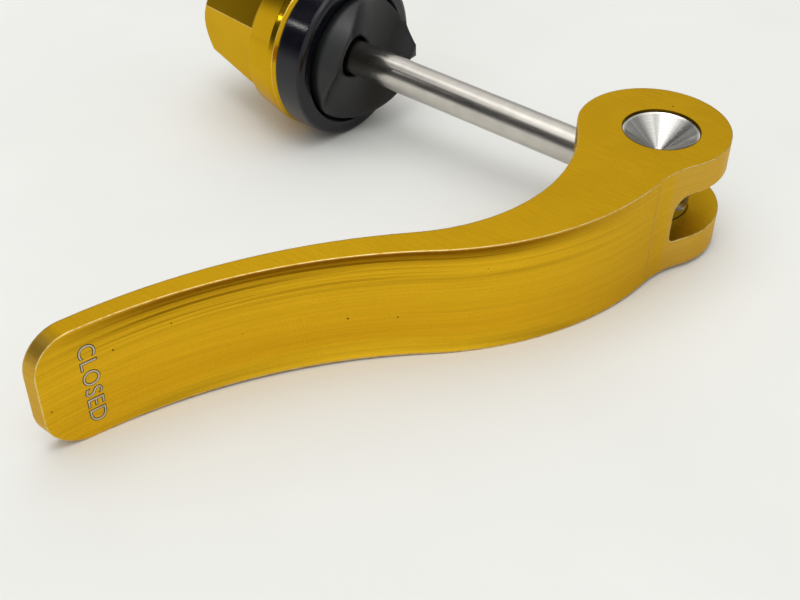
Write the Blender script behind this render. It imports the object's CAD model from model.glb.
import math

import bmesh
import bpy
from mathutils import Matrix, Vector
from mathutils.bvhtree import BVHTree


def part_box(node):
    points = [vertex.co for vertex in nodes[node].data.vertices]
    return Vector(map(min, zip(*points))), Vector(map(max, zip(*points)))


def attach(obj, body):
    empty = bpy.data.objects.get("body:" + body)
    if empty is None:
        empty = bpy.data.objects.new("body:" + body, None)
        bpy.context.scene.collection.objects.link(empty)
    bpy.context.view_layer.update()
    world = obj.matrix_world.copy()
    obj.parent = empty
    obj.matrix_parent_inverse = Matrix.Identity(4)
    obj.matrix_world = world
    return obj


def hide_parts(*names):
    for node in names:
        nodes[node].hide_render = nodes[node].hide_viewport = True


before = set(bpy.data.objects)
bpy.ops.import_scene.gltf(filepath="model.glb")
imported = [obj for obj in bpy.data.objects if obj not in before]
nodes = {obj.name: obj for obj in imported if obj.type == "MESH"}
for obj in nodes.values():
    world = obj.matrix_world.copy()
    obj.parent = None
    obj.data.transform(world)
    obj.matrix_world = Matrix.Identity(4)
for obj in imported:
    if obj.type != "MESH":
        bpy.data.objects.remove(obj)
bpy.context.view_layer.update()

MM = 0.001

# Camera, as fitted to the photograph
CAMERA_PLACE = Vector((87.362, -120.834, 85.762)) * MM
CAMERA_RIGHT = Vector((0.77061, 0.63726, 0.00757))
CAMERA_UP = Vector((-0.40745, 0.48351, 0.77473))
CAMERA_LENS = 54.89
CAMERA_CLIP = 5 * MM
SENSOR_WIDTH = 36.0

# Floor: the lever's underside rests on it at the belly and near the tip
BELLY_CONTACT = Vector((30.4, -30.2, 0.0)) * MM
TIP_CONTACT = Vector((5.2, -70.8, 0.0)) * MM
FLOOR_SIZE = 3.0
PAPER_TONES = ((0.86, 0.87, 0.845), (0.91, 0.92, 0.895))
PAPER_SCALE = 0.02
PAPER_ROUGHNESS = 0.7
PAPER_GLOSS = 0.2

# Room: an even level with brighter and darker parts, each a direction, the cosines of the angles
# at which it begins and is full, and what it adds to the level or the share of it that it leaves
ROOM_TINT = (1.0, 0.995, 0.98, 1.0)
ROOM_LEVEL = 0.52
BRIGHT_PARTS = {
    "window": ((-0.44, 0.23, 0.87), (0.60, 1.0), 0.55),
    "skylight": ((-0.48, 0.06, 0.875), (0.965, 1.0), 0.45),
    "overhead": ((0.05, -0.15, 0.987), (0.72, 0.98), 0.6),
    "front": ((0.40, -0.60, 0.69), (0.3, 0.95), 0.3),
    "left": ((-0.87, -0.455, 0.18), (0.94, 0.99), 0.35),
}
DARK_PARTS = {
    "front_wall": ((-0.56, -0.69, 0.457), (0.89, 0.97), 0.12),
    "upper_wall": ((-0.74, -0.15, 0.655), (0.95, 0.98), 0.05),
    "left_wall": ((-0.859, 0.205, 0.47), (0.95, 0.98), 0.4),
    "right_wall": ((0.98, 0.15, 0.10), (0.80, 0.97), 0.5),
}

# Lamps: place, disc size and power
CEILING_LAMP = ((0.05, -0.125, 0.48), 0.18, 0.24)
SIDE_LAMP = ((-0.116, -0.092, 0.0905), 0.010, 0.004)

# Rod: plain shank, then an M5 thread that starts inside the saddle
ROD_RADIUS = 2.5 * MM
ROD_CHAMFER = 0.5 * MM
THREAD_PITCH = 0.8 * MM
THREAD_DEPTH = 0.42 * MM
THREAD_START = -22.5 * MM
FLANK_SLOPE = 1.6
STEPS_PER_PITCH = 8
TURN_STEPS = 48
SHARP_ANGLE = math.radians(40)

# Lettering across the arm near its tip: silver letters with a burnt edge
LETTER_HEIGHT = 1.85 * MM
CAP_HEIGHT = 0.69
LETTER_SPACING = 1.09
LETTER_CURVE_STEPS = 6
LETTER_PLACE = Vector((0.0, -70.6, 4.65)) * MM
LETTER_LIFT = 0.05 * MM
EDGE_LIFT = LETTER_LIFT / 3
LETTER_SINK = 0.1 * MM
LETTER_EDGE = 0.05 * MM
LETTER_THINNING = -0.045 * MM
AHEAD_OF_ARM = 50 * MM
WELD_REACH = 0.001 * MM

# Gold anodising: usual, deeper and worn; then the lever's milled sides and its trough
GOLD = (0.66, 0.385, 0.010)
GOLD_DEEP = (0.61, 0.350, 0.008)
GOLD_WORN = (0.88, 0.72, 0.36)
GOLD_MILLED = (0.66, 0.40, 0.06)
GOLD_SIDE = (0.68, 0.405, 0.022)
GOLD_TROUGH = (0.84, 0.50, 0.017)
GOLD_TINT = (0.97, 0.85, 0.55, 1.0)
GOLD_EDGE = 0.27 * MM
GOLD_WEAR = 0.9
GOLD_VARIATION = (-0.06, 0.08)
CLOUD_SCALE = 0.12
GRAIN_SCALE = 7.0
GRAIN_DEPTH = 0.02 * MM
GRAIN_NOISE = (0.35, 0.75)
GRAIN_SHARE = (0.0, 0.4)
GRAIN_SHADE = 0.72
GRAIN_BROWN = [c * GRAIN_SHADE for c in GOLD_DEEP]
STREAK_BROWN = (0.44, 0.235, 0.006)
RIM_BROWN = (0.17, 0.075, 0.001)
PIT_BROWN = (0.035, 0.018, 0.002)

# Gold finishes: roughness, strength of the grain and of the tool lines
LEVER_FINISH = (0.36, 0.3, 0.5)
NUT_FINISH = (0.16, 0.05, 0)

# Worn edges: broken by patches of noise that leave part of the wear
WEAR_SCALE = 1.4
WEAR_NOISE = (0.35, 0.55)
WEAR_SHARE = (0.25, 1.0)
EDGE_COSINES = (0.985, 0.9)
RAY_SAMPLES = 8

# Dark and plastic finishes: colour, scuffed colour, roughness, gloss and rounding of the edges;
# then the moulded grain and the dust on all of them
BLACK_PLASTIC = ((0.006, 0.007, 0.008), (0.03, 0.033, 0.035), 0.36, 0.5, 0.8 * MM)
BLACK_ANODISED = ((0.002, 0.002, 0.006), (0.03, 0.03, 0.038), 0.14, 0.4, 0.25 * MM)
NYLON = ((0.6, 0.6, 0.56), (0.45, 0.45, 0.42), 0.5, 0.5, 0.2 * MM)
BURNT_EDGE = ((0.05, 0.034, 0.012), (0.12, 0.08, 0.03), 0.5, 0.3, 0.05 * MM)
SCUFFING = 0.5
MOULD_SCALE = 5.0
MOULD_STRENGTH = 0.2
DUST_SCALE = 0.9
DUST_NOISE = (0.55, 0.8)
DUST_SHARE = (0.0, 0.35)
PLAIN_VARIATION = (-0.05, 0.1)

# Steel finishes: colour, roughness and how close the drawn lines lie along each axis;
# then the stains and the lines on all of them
ROD_STEEL = ((0.62, 0.59, 0.54), 0.18, (0.3, 4.0, 4.0))
ETCHED = ((0.66, 0.60, 0.48), 0.45, (6.0, 6.0, 6.0))
STAIN_SHADE = 0.82
STAIN_SCALE = 0.35
STAIN_NOISE = (0.3, 0.75)
DRAWN_NOISE = (0.25, 0.75)
DRAWN_STRENGTH = 0.12
DRAWN_DEPTH = 0.01 * MM

# Turned pin: bright and dull rings, dark spokes, polished rim
PIN_STEEL = (0.70, 0.69, 0.66)
PIN_DULL = (0.50, 0.49, 0.46)
PIN_SPOKE = (0.27, 0.265, 0.25)
PIN_POLISHED = (0.80, 0.79, 0.75)
PIN_ANISOTROPY = 0.75
PIN_ROUGHNESS = (0.14, 0.26)
RING_SCALE = 9.0
RING_STRENGTH = 0.3
RING_DEPTH = 0.015 * MM
SPOKE_SCALE = 16.0
SPOKE_NOISE = (0.42, 0.62)
SPOKE_SHARE = (0.0, 0.7)
POLISHED_SHARE = (0.0, 0.8)

# Lever: where its pin turns, where its trough runs out, in millimetres, and its arm's direction
PIN_AXIS = (30.0, 0.0)
PIN_RADIUS = 4.75
BORE_RADIUS = 4.78
HEAD_RADIUS = 9.5
TROUGH_END = (36.0, -10.36)
ARM_HEADING = math.radians(-109)

# Marks on the lever: how close lines and pits lie, where a noise shows and how much of it
FACE_LINES = (220, 4500, 0)
SIDE_LINES = (0.05, 0.05, 4.0)
LINE_DEPTH = 0.05 * MM
STREAK_NOISE = (0.38, 0.68)
STREAK_SHARE = (0.0, 0.3)
RIM_LINES = (0.02, 0.02, 2.2)
RIM_NOISE = (0.44, 0.6)
RIM_LINE_SHARE = (0.0, 0.9)
RIM_STRIP_SHARE = (0.0, 0.85)
RIM_TIP_SHARE = (0.25, 1.0)
PIT_SPACING = 0.25
PIT_SIZE = (0.025, 0.04)
HOLLOW_SHADE = (0.85, 0.4)
DIRT_SHARE = (0.0, 0.85)
TROUGH_END_WEAR = (0.4, 1.0)

# Zones of the lever in millimetres, from one side of the change to the other: along Y
TROUGH_FADING = (-14, -30)
RIM_FADING = (-73, -62)
TIP_ZONE = (-70, -73)

# Along Z
RIM_EDGE = (7.0, 6.8)
RIM_STRIP = (4.4, 6.3)
LINED_ZONE = (1.5, 5.0)

# From the pin's axis, and the last from the trough's end
PIN_RIM = (PIN_RADIUS - 0.4, PIN_RADIUS - 0.25)
BORE_GAP = (BORE_RADIUS + 0.03, BORE_RADIUS + 0.16)
BORE_EDGE = (BORE_RADIUS + 0.2, BORE_RADIUS + 0.4)
HEAD_SIDE = (HEAD_RADIUS + 0.1, HEAD_RADIUS + 0.4)
HEAD_HOLLOW = (HEAD_RADIUS + 1, HEAD_RADIUS + 2)
TROUGH_END_EDGE = (0.7, 1.4)

# Spreads of values: levels that rise or fall, the middle of a noise, faces that look up or ahead
RISE = (0.0, 1.0)
FALL = (1.0, 0.0)
NOISE_MIDDLE = (0.3, 0.7)
LEVEL_NORMALS = (0.85, 0.97)
FRONT_NORMALS = (0.3, 0.6)

# Even stretch of a pattern, and the mix node's sockets for numbers and for colours
EVEN = (1, 1, 1)
NUMBER_SOCKETS = (2, 3)
COLOUR_SOCKETS = (6, 7)
COLOUR_OUTPUT = 2


def link(obj):
    bpy.context.scene.collection.objects.link(obj)
    return obj


def add(tree, kind, **settings):
    # A shader node with its options and input values set by name
    made = tree.nodes.new(kind)
    for name, value in settings.items():
        if name in made.inputs:
            made.inputs[name].default_value = value
        else:
            setattr(made, name, value)
    return made


def wire(tree, source, output, target, socket):
    tree.links.new(source.outputs[output], target.inputs[socket])


def new_material(name):
    material = bpy.data.materials.new(name)
    material.use_nodes = True
    tree = material.node_tree
    shader = tree.nodes["Principled BSDF"]
    return material, tree, shader


def millimetres(tree, stretch=EVEN):
    # Object coordinates in millimetres, with each axis stretched
    place = add(tree, "ShaderNodeTexCoord")
    scale = add(tree, "ShaderNodeMapping")
    scale.inputs["Scale"].default_value = [s / MM for s in stretch]
    wire(tree, place, "Object", scale, "Vector")
    return scale


def noise(tree, stretch, scale, detail=3.0, roughness=0.55):
    where = millimetres(tree, stretch)
    made = add(tree, "ShaderNodeTexNoise", Scale=scale, Detail=detail, Roughness=roughness)
    wire(tree, where, "Vector", made, "Vector")
    return made


def remap(tree, source, output, spread, levels):
    # One spread of values turned into another
    made = add(tree, "ShaderNodeMapRange")
    made.inputs["From Min"].default_value, made.inputs["From Max"].default_value = spread
    made.inputs["To Min"].default_value, made.inputs["To Max"].default_value = levels
    wire(tree, source, output, made, "Value")
    return made


def combine(tree, operation, *sources):
    # One value from the first outputs of several nodes
    result = sources[0]
    for source in sources[1:]:
        both = add(tree, "ShaderNodeMath", operation=operation)
        wire(tree, result, 0, both, 0)
        wire(tree, source, 0, both, 1)
        result = both
    return result


def mix_colour(tree, factor, *colours):
    # Each of the two colours is a tuple or another mix
    made = add(tree, "ShaderNodeMix", data_type="RGBA")
    wire(tree, factor, 0, made, 0)
    for colour, socket in zip(colours, COLOUR_SOCKETS):
        if isinstance(colour, bpy.types.Node):
            wire(tree, colour, COLOUR_OUTPUT, made, socket)
        else:
            made.inputs[socket].default_value = (*colour, 1.0)
    return made


def varied(roughness, variation):
    # A roughness with what it varies by either way
    return tuple(roughness + change for change in variation)


def bump(tree, source, output, strength, distance, normal=None):
    made = add(tree, "ShaderNodeBump", Strength=strength, Distance=distance)
    wire(tree, source, output, made, "Height")
    if normal is not None:
        wire(tree, normal, "Normal", made, "Normal")
    return made


def edge_wear(tree, radius, amount):
    # White on sharp edges, broken up by noise: where the rounded normal leaves the face's own
    rounded = add(tree, "ShaderNodeBevel", samples=RAY_SAMPLES, Radius=radius)
    own = add(tree, "ShaderNodeNewGeometry")
    dot = add(tree, "ShaderNodeVectorMath", operation="DOT_PRODUCT")
    wire(tree, rounded, "Normal", dot, 0)
    wire(tree, own, "True Normal", dot, 1)
    edge = remap(tree, dot, "Value", EDGE_COSINES, (0.0, amount))
    cloud = noise(tree, EVEN, scale=WEAR_SCALE, detail=4.0)
    patches = remap(tree, cloud, "Fac", WEAR_NOISE, WEAR_SHARE)
    return combine(tree, "MULTIPLY", edge, patches), rounded


def away_from(tree, axis):
    # The way in millimetres from a line along Z
    away = add(tree, "ShaderNodeVectorMath", operation="SUBTRACT")
    away.inputs[1].default_value = (*axis, 0)
    wire(tree, millimetres(tree, (1, 1, 0)), "Vector", away, 0)
    return away


def reach_from(tree, axis):
    # Distance in millimetres from a line along Z
    reach = add(tree, "ShaderNodeVectorMath", operation="LENGTH")
    wire(tree, away_from(tree, axis), "Vector", reach, 0)
    return reach


def along_axes(tree):
    # The place on a piece, in millimetres, as three numbers
    where = add(tree, "ShaderNodeSeparateXYZ")
    wire(tree, millimetres(tree), "Vector", where, "Vector")
    return where


def facing(tree):
    # The surface's direction as three numbers
    parts = add(tree, "ShaderNodeSeparateXYZ")
    wire(tree, add(tree, "ShaderNodeTexCoord"), "Normal", parts, "Vector")
    return parts


def flat_faces(tree):
    # White on the upper and lower faces, black on the sides
    level = add(tree, "ShaderNodeMath", operation="ABSOLUTE")
    wire(tree, facing(tree), "Z", level, 0)
    return remap(tree, level, "Value", LEVEL_NORMALS, RISE)


def tool_lines(tree, flat):
    # Fine lines along the arm: by height on its sides, by distance across it on its flat faces
    side_lines = noise(tree, SIDE_LINES, scale=1.0, detail=5.0, roughness=0.6)
    turned = add(tree, "ShaderNodeMapping")
    turned.inputs["Rotation"].default_value = (0, 0, -ARM_HEADING)
    turned.inputs["Scale"].default_value = FACE_LINES
    wire(tree, add(tree, "ShaderNodeTexCoord"), "Object", turned, "Vector")
    face_lines = add(tree, "ShaderNodeTexNoise", Scale=1.0, Detail=3.0)
    wire(tree, turned, "Vector", face_lines, "Vector")
    both = add(tree, "ShaderNodeMix", data_type="FLOAT")
    wire(tree, flat, "Result", both, 0)
    for lines, socket in zip((side_lines, face_lines), NUMBER_SOCKETS):
        wire(tree, lines, "Fac", both, socket)
    return both


def trough_face(tree):
    # White in the trough along the arm's front, fading out towards the head
    front = remap(tree, facing(tree), "X", FRONT_NORMALS, RISE)
    arm = remap(tree, along_axes(tree), "Y", TROUGH_FADING, RISE)
    return combine(tree, "MULTIPLY", front, arm)


def rim_lines(tree, trough):
    # Dark lines that the cutter left under the upper rim of the trough, fainter near the tip
    where = along_axes(tree)
    below_rim = remap(tree, where, "Z", RIM_EDGE, RISE)
    strip = remap(tree, where, "Z", RIM_STRIP, RIM_STRIP_SHARE)
    passes = remap(tree, noise(tree, RIM_LINES, scale=1.0, detail=2.0), "Fac", RIM_NOISE, RIM_LINE_SHARE)
    lines = combine(tree, "MULTIPLY", passes, remap(tree, where, "Z", LINED_ZONE, RISE))
    either = combine(tree, "MAXIMUM", strip, lines)
    fading = remap(tree, where, "Y", RIM_FADING, RIM_TIP_SHARE)
    return combine(tree, "MULTIPLY", either, trough, below_rim, fading)


def lever_colour(tree, body, flat, lines):
    # Paler head and tip, a brighter trough, streaks along the arm, lines under the rim
    trough = trough_face(tree)
    turned = remap(tree, reach_from(tree, PIN_AXIS), "Value", HEAD_SIDE, FALL)
    tip = remap(tree, along_axes(tree), "Y", TIP_ZONE, RISE)
    milled = mix_colour(tree, combine(tree, "MAXIMUM", turned, tip), GOLD_SIDE, GOLD_MILLED)
    sides = mix_colour(tree, flat, milled, body)
    hollowed = mix_colour(tree, trough, sides, GOLD_TROUGH)
    streaks = remap(tree, lines, 0, STREAK_NOISE, STREAK_SHARE)
    streaked = mix_colour(tree, streaks, hollowed, STREAK_BROWN)
    return mix_colour(tree, rim_lines(tree, trough), streaked, RIM_BROWN)


def lever_dirt(tree, body):
    # Pits all over, dirt in the head's hollows and in the gap round the pin
    cells = add(tree, "ShaderNodeTexVoronoi", Scale=PIT_SPACING)
    wire(tree, millimetres(tree), "Vector", cells, "Vector")
    pits = remap(tree, cells, "Distance", PIT_SIZE, FALL)
    pitted = mix_colour(tree, pits, body, PIT_BROWN)
    reach = reach_from(tree, PIN_AXIS)
    hollow = add(tree, "ShaderNodeAmbientOcclusion", samples=RAY_SAMPLES, only_local=True)
    hollow.inputs["Distance"].default_value = HEAD_RADIUS * MM
    dirt = remap(tree, hollow, "AO", HOLLOW_SHADE, DIRT_SHARE)
    head = remap(tree, reach, "Value", HEAD_HOLLOW, FALL)
    dirty = mix_colour(tree, combine(tree, "MULTIPLY", dirt, head), pitted, PIT_BROWN)
    gap = remap(tree, reach, "Value", BORE_GAP, FALL)
    return mix_colour(tree, gap, dirty, PIT_BROWN)


def unworn_places(tree, wear):
    # No bright edge round the pin, and a weaker one where the trough runs out
    clear_of_pin = remap(tree, reach_from(tree, PIN_AXIS), "Value", BORE_EDGE, RISE)
    clear_of_end = remap(tree, reach_from(tree, TROUGH_END), "Value", TROUGH_END_EDGE, TROUGH_END_WEAR)
    return combine(tree, "MULTIPLY", wear, clear_of_pin, clear_of_end)


def gold(name, roughness, grain, line_strength):
    # Anodised aluminium: fine blasted grain, tool lines on the lever, edges worn bright
    material, tree, shader = new_material(name)
    shader.inputs["Metallic"].default_value = 1.0
    shader.inputs["Specular Tint"].default_value = GOLD_TINT
    speck = noise(tree, EVEN, scale=GRAIN_SCALE, detail=4.0, roughness=0.7)
    cloud = noise(tree, EVEN, scale=CLOUD_SCALE, detail=2.0)
    wear, rounded = edge_wear(tree, GOLD_EDGE, GOLD_WEAR)
    body = mix_colour(tree, remap(tree, cloud, "Fac", NOISE_MIDDLE, RISE), GOLD_DEEP, GOLD)
    surface = bump(tree, speck, "Fac", grain, GRAIN_DEPTH, rounded)
    if line_strength:
        flat = flat_faces(tree)
        lines = tool_lines(tree, flat)
        body = lever_dirt(tree, lever_colour(tree, body, flat, lines))
        wear = unworn_places(tree, wear)
        surface = bump(tree, lines, 0, line_strength, LINE_DEPTH, surface)
    grains = remap(tree, speck, "Fac", GRAIN_NOISE, GRAIN_SHARE)
    dotted = mix_colour(tree, grains, body, GRAIN_BROWN)
    worn = mix_colour(tree, wear, dotted, GOLD_WORN)
    wire(tree, worn, COLOUR_OUTPUT, shader, "Base Color")
    rough = remap(tree, speck, "Fac", NOISE_MIDDLE, varied(roughness, GOLD_VARIATION))
    wire(tree, rough, "Result", shader, "Roughness")
    wire(tree, surface, "Normal", shader, "Normal")
    return material


def steel(name, colour, roughness, stretch):
    # Bare steel with fine drawn lines and faint stains
    material, tree, shader = new_material(name)
    shader.inputs["Metallic"].default_value = 1.0
    lines = noise(tree, stretch, scale=1.0)
    stain = noise(tree, EVEN, scale=STAIN_SCALE)
    tone = remap(tree, stain, "Fac", STAIN_NOISE, RISE)
    body = mix_colour(tree, tone, colour, [c * STAIN_SHADE for c in colour])
    wire(tree, body, COLOUR_OUTPUT, shader, "Base Color")
    rough = remap(tree, lines, "Fac", DRAWN_NOISE, varied(roughness, PLAIN_VARIATION))
    wire(tree, rough, "Result", shader, "Roughness")
    wire(tree, bump(tree, lines, "Fac", DRAWN_STRENGTH, DRAWN_DEPTH), "Normal", shader, "Normal")
    return material


def spokes(tree, axis):
    # Streaks that run out from a line along Z
    turn = add(tree, "ShaderNodeTexGradient", gradient_type="RADIAL")
    wire(tree, away_from(tree, axis), "Vector", turn, "Vector")
    made = add(tree, "ShaderNodeTexNoise", noise_dimensions="1D", Scale=SPOKE_SCALE, Detail=4.0)
    wire(tree, turn, "Fac", made, "W")
    return made


def turned_steel(name):
    # Turned pin: rings about its own axis, the fan of light that they give, and a bright rim
    material, tree, shader = new_material(name)
    shader.inputs["Metallic"].default_value = 1.0
    shader.inputs["Anisotropic"].default_value = PIN_ANISOTROPY
    reach = reach_from(tree, PIN_AXIS)
    rings = add(tree, "ShaderNodeTexNoise", noise_dimensions="1D", Scale=RING_SCALE, Detail=3.0)
    wire(tree, reach, "Value", rings, "W")
    ringed = mix_colour(tree, remap(tree, rings, "Fac", NOISE_MIDDLE, RISE), PIN_STEEL, PIN_DULL)
    streak = remap(tree, spokes(tree, PIN_AXIS), "Fac", SPOKE_NOISE, SPOKE_SHARE)
    streaked = mix_colour(tree, streak, ringed, PIN_SPOKE)
    rim = remap(tree, reach, "Value", PIN_RIM, POLISHED_SHARE)
    body = mix_colour(tree, rim, streaked, PIN_POLISHED)
    wire(tree, body, COLOUR_OUTPUT, shader, "Base Color")
    rough = remap(tree, rings, "Fac", NOISE_MIDDLE, PIN_ROUGHNESS)
    wire(tree, rough, "Result", shader, "Roughness")
    wire(tree, bump(tree, rings, "Fac", RING_STRENGTH, RING_DEPTH), "Normal", shader, "Normal")
    tangent = add(tree, "ShaderNodeTangent", direction_type="RADIAL", axis="Z")
    wire(tree, tangent, "Tangent", shader, "Tangent")
    return material


def dark(name, colour, scuffed, roughness, gloss, rounding):
    # Plastic or black anodised metal with a faint grain, dust and rubbed edges
    material, tree, shader = new_material(name)
    shader.inputs["Specular IOR Level"].default_value = gloss
    grain = noise(tree, EVEN, scale=MOULD_SCALE, detail=4.0)
    dust = noise(tree, EVEN, scale=DUST_SCALE, detail=5.0, roughness=0.7)
    wear, rounded = edge_wear(tree, rounding, SCUFFING)
    dusty = remap(tree, dust, "Fac", DUST_NOISE, DUST_SHARE)
    body = mix_colour(tree, dusty, colour, scuffed)
    worn = mix_colour(tree, wear, body, scuffed)
    wire(tree, worn, COLOUR_OUTPUT, shader, "Base Color")
    rough = remap(tree, grain, "Fac", NOISE_MIDDLE, varied(roughness, PLAIN_VARIATION))
    wire(tree, rough, "Result", shader, "Roughness")
    surface = bump(tree, grain, "Fac", MOULD_STRENGTH, GRAIN_DEPTH, rounded)
    wire(tree, surface, "Normal", shader, "Normal")
    return material


def paper(name):
    # Pale floor with a faint tone
    material, tree, shader = new_material(name)
    shader.inputs["Roughness"].default_value = PAPER_ROUGHNESS
    shader.inputs["Specular IOR Level"].default_value = PAPER_GLOSS
    tone = noise(tree, EVEN, scale=PAPER_SCALE)
    body = mix_colour(tree, remap(tree, tone, "Fac", NOISE_MIDDLE, RISE), *PAPER_TONES)
    wire(tree, body, COLOUR_OUTPUT, shader, "Base Color")
    return material


def dress(name, material):
    obj = nodes[name]
    obj.data.materials.clear()
    obj.data.materials.append(material)


def make_floor():
    # The plane through the lever's two contacts that just touches the cup or the nut
    underside = Vector((0, 0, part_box("lever")[0].z))
    belly = BELLY_CONTACT + underside
    tip = TIP_CONTACT + underside
    side = (belly - tip).cross(Vector((0, 0, -1))).normalized()
    rims = [v.co for name in ("cup_washer", "adjusting_nut") for v in nodes[name].data.vertices]
    rim = min(rims, key=lambda point: (point - belly).z / abs((point - belly).dot(side)))
    normal = (rim - belly).cross(tip - belly).normalized()
    bpy.ops.mesh.primitive_plane_add(size=FLOOR_SIZE)
    floor = bpy.context.object
    floor.name = "floor"
    floor.matrix_world = Matrix.Translation(belly) @ normal.to_track_quat("Z", "Y").to_matrix().to_4x4()
    floor.data.materials.append(paper("paper"))


def make_camera():
    data = bpy.data.cameras.new("camera")
    data.lens = CAMERA_LENS
    data.sensor_width = SENSOR_WIDTH
    data.clip_start = CAMERA_CLIP
    camera = link(bpy.data.objects.new("camera", data))
    back = CAMERA_RIGHT.cross(CAMERA_UP)
    turn = Matrix((CAMERA_RIGHT, CAMERA_UP, back)).transposed()
    camera.matrix_world = Matrix.Translation(CAMERA_PLACE) @ turn.to_4x4()
    bpy.context.scene.camera = camera


def area_light(name, place, size, power):
    # A disc that shines towards the object
    data = bpy.data.lights.new(name, "AREA")
    data.shape = "DISK"
    data.size = size
    data.energy = power
    lamp = link(bpy.data.objects.new(name, data))
    lamp.visible_camera = False
    lamp.location = place
    lamp.rotation_euler = (-Vector(place)).to_track_quat("-Z", "Y").to_euler()


def toward(tree, way, spread, levels):
    # A level that changes with the angle from one direction
    near = add(tree, "ShaderNodeVectorMath", operation="DOT_PRODUCT")
    near.inputs[1].default_value = Vector(way).normalized()
    wire(tree, add(tree, "ShaderNodeTexCoord"), "Generated", near, 0)
    level = remap(tree, near, "Value", spread, levels)
    level.interpolation_type = "SMOOTHSTEP"
    return level


def make_light():
    # The room round the object, and two lamps
    world = bpy.data.worlds.new("studio")
    bpy.context.scene.world = world
    world.use_nodes = True
    tree = world.node_tree
    sky = tree.nodes["Background"]
    sky.inputs["Color"].default_value = ROOM_TINT
    bright = [toward(tree, way, spread, (0.0, gain)) for way, spread, gain in BRIGHT_PARTS.values()]
    dim = [toward(tree, way, spread, (1.0, share)) for way, spread, share in DARK_PARTS.values()]
    level = add(tree, "ShaderNodeMath", operation="ADD")
    level.inputs[0].default_value = ROOM_LEVEL
    wire(tree, combine(tree, "ADD", *bright), 0, level, 1)
    wire(tree, combine(tree, "MULTIPLY", level, *dim), 0, sky, "Strength")
    area_light("ceiling_lamp", *CEILING_LAMP)
    area_light("side_lamp", *SIDE_LAMP)


def rod_places(start, end):
    # Places along the rod: several to each turn of the thread, few on the plain shank
    places = [start]
    while places[-1] < THREAD_START:
        places.append(places[-1] + THREAD_PITCH / STEPS_PER_PITCH)
    return places + [THREAD_START + THREAD_PITCH, end - ROD_CHAMFER, end]


def rod_radius(place, start, turn):
    # Grooves that follow a helix as far as the thread goes, and a chamfer at the rod's end
    radius = ROD_RADIUS
    if place <= THREAD_START:
        phase = ((place - start) / THREAD_PITCH - turn) % 1.0
        ridge = min(1.0, FLANK_SLOPE * abs(2 * phase - 1))
        radius -= THREAD_DEPTH * (1 - ridge)
    return min(radius, ROD_RADIUS - ROD_CHAMFER + (place - start))


def rod_ring(mesh, place, start):
    ring = []
    for step in range(TURN_STEPS):
        angle = 2 * math.pi * step / TURN_STEPS
        radius = rod_radius(place, start, step / TURN_STEPS)
        ring.append(mesh.verts.new((place, radius * math.cos(angle), radius * math.sin(angle))))
    return ring


def make_rod():
    # The rod with its thread, as rings of points joined one to the next
    low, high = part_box("skewer_rod")
    mesh = bmesh.new()
    rings = [rod_ring(mesh, place, low.x) for place in rod_places(low.x, high.x)]
    for first, second in zip(rings, rings[1:]):
        for step in range(TURN_STEPS):
            following = (step + 1) % TURN_STEPS
            mesh.faces.new((first[step], first[following], second[following], second[step]))
    mesh.faces.new(rings[0])
    mesh.faces.new(rings[-1][::-1])
    bmesh.ops.recalc_face_normals(mesh, faces=mesh.faces)
    data = bpy.data.meshes.new("threaded_rod")
    mesh.to_mesh(data)
    mesh.free()
    data.shade_smooth()
    data.set_sharp_from_angle(angle=SHARP_ANGLE)
    rod = link(bpy.data.objects.new("threaded_rod", data))
    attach(rod, "shank")
    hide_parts("skewer_rod")
    return rod


def letter_mesh(name, grow):
    # The word as a mesh, each letter with a front and a back
    curve = bpy.data.curves.new(name, "FONT")
    curve.body = "CLOSED"
    curve.size = LETTER_HEIGHT / CAP_HEIGHT
    curve.space_character = LETTER_SPACING
    curve.offset = grow
    curve.extrude = LETTER_SINK
    curve.resolution_u = LETTER_CURVE_STEPS
    source = link(bpy.data.objects.new(name + "_source", curve))
    bpy.context.view_layer.update()
    solid = source.evaluated_get(bpy.context.evaluated_depsgraph_get())
    data = bpy.data.meshes.new_from_object(solid)
    bpy.data.objects.remove(source)
    return data


def weld(data):
    # Join the faces of a mesh at their shared edges
    mesh = bmesh.new()
    mesh.from_mesh(data)
    bmesh.ops.remove_doubles(mesh, verts=mesh.verts, dist=WELD_REACH)
    bmesh.ops.recalc_face_normals(mesh, faces=mesh.faces)
    mesh.to_mesh(data)
    mesh.free()


def make_lettering(name, lift, grow):
    # Plain letters that read down across the arm, set into its front
    data = letter_mesh(name, grow)
    arm = nodes["lever"].data
    front = BVHTree.FromPolygons([v.co for v in arm.vertices], [p.vertices for p in arm.polygons])
    for vertex in data.vertices:
        along = LETTER_PLACE.y + vertex.co.y
        height = LETTER_PLACE.z - vertex.co.x
        ahead = Vector((AHEAD_OF_ARM, along, height))
        hit, normal = front.ray_cast(ahead, Vector((-1, 0, 0)))[:2]
        vertex.co = hit + normal * (lift if vertex.co.z > 0 else -LETTER_SINK)
    weld(data)
    lettering = link(bpy.data.objects.new(name, data))
    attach(lettering, "lever")
    return lettering


make_camera()
make_light()
make_floor()
dress("lever", gold("gold_lever", *LEVER_FINISH))
dress("adjusting_nut", gold("gold_nut", *NUT_FINISH))
dress("pivot_pin", turned_steel("turned_steel"))
dress("cam_saddle", dark("black_plastic", *BLACK_PLASTIC))
dress("cup_washer", dark("black_anodised", *BLACK_ANODISED))
dress("lock_ring", dark("nylon", *NYLON))
make_rod().data.materials.append(steel("rod_steel", *ROD_STEEL))
letter_edges = make_lettering("lettering_edge", EDGE_LIFT, LETTER_EDGE)
letter_edges.data.materials.append(dark("burnt_edge", *BURNT_EDGE))
letters = make_lettering("lettering", LETTER_LIFT, LETTER_THINNING)
letters.data.materials.append(steel("etched", *ETCHED))

bpy.context.scene.view_settings.view_transform = "Standard"
